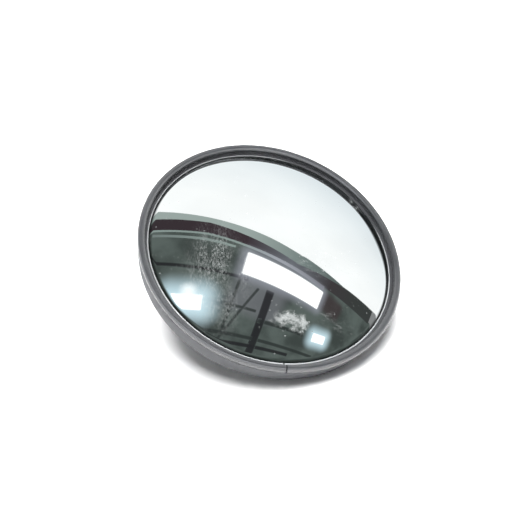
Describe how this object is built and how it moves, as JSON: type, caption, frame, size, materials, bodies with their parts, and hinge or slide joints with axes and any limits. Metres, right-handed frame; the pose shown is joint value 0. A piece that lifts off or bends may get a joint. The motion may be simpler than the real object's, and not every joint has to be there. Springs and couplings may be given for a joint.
{
  "type": "convex mirror",
  "caption": "Round convex safety mirror in a rubber-edged bowl shell, held by a bracket that swivels and tilts on a round wall plate with screw holes.",
  "frame": {"origin": "centre of the wall plate's back face, on the pan axis", "axes": "+Z out of the wall along the pan axis, X along the tilt axis, the head leaning towards -Y at rest"},
  "size_m": [0.216, 0.1957, 0.1207],
  "materials": {
    "silvered_glass": "polished silvered glass, lightly scuffed",
    "gasket_rubber": "satin charcoal rubber",
    "seal_rubber": "matt black rubber",
    "shell_plastic": "fine-grained moulded plastic",
    "zinc_bracket": "zinc-plated pressed steel",
    "bright_fasteners": "bright zinc-plated steel",
    "rivet_aluminium": "plain aluminium",
    "nylon_washers": "natural nylon"
  },
  "bodies": {
    "base": {"wall_plate": "zinc_bracket", "pan_stud": "bright_fasteners", "pan_thrust_washer": "nylon_washers", "pan_flat_washer": "bright_fasteners", "pan_disc_spring": "bright_fasteners", "pan_lock_nut": "bright_fasteners"},
    "swivel": {"swivel_yoke": "zinc_bracket", "tilt_bolt_left": "bright_fasteners", "tilt_bolt_right": "bright_fasteners", "tilt_bolt_washer_left": "bright_fasteners", "tilt_bolt_washer_right": "bright_fasteners", "tilt_friction_washer_left": "nylon_washers", "tilt_friction_washer_right": "nylon_washers", "tilt_nut_left": "bright_fasteners", "tilt_nut_right": "bright_fasteners"},
    "lug": {"tilt_lug": "zinc_bracket"},
    "head": {"back_shell": "shell_plastic", "rim_gasket": "gasket_rubber", "mirror_glass": "silvered_glass", "stiffener_plate": "zinc_bracket", "head_stud": "bright_fasteners", "plate_rivet_1": "rivet_aluminium", "plate_rivet_2": "rivet_aluminium", "plate_rivet_3": "rivet_aluminium", "plate_rivet_4": "rivet_aluminium", "seal_washer": "seal_rubber", "stud_flat_washer": "bright_fasteners", "stud_spring_washer": "bright_fasteners", "stud_nut": "bright_fasteners"}
  },
  "joints": [
    {"name": "pan_swivel", "type": "hinge", "parent": "base", "child": "swivel", "pos_m": [0, 0, 0.01], "axis": [0, 0, 1], "continuous": true},
    {"name": "head_tilt", "type": "hinge", "parent": "swivel", "child": "lug", "pos_m": [0, 0, 0.02105], "axis": [-1, 0, 0], "range_deg": [0, 57.2]},
    {"name": "head_spin", "type": "hinge", "parent": "lug", "child": "head", "pos_m": [0, 0, 0.02105], "axis": [0, -0.4787, 0.878], "continuous": true}
  ]
}
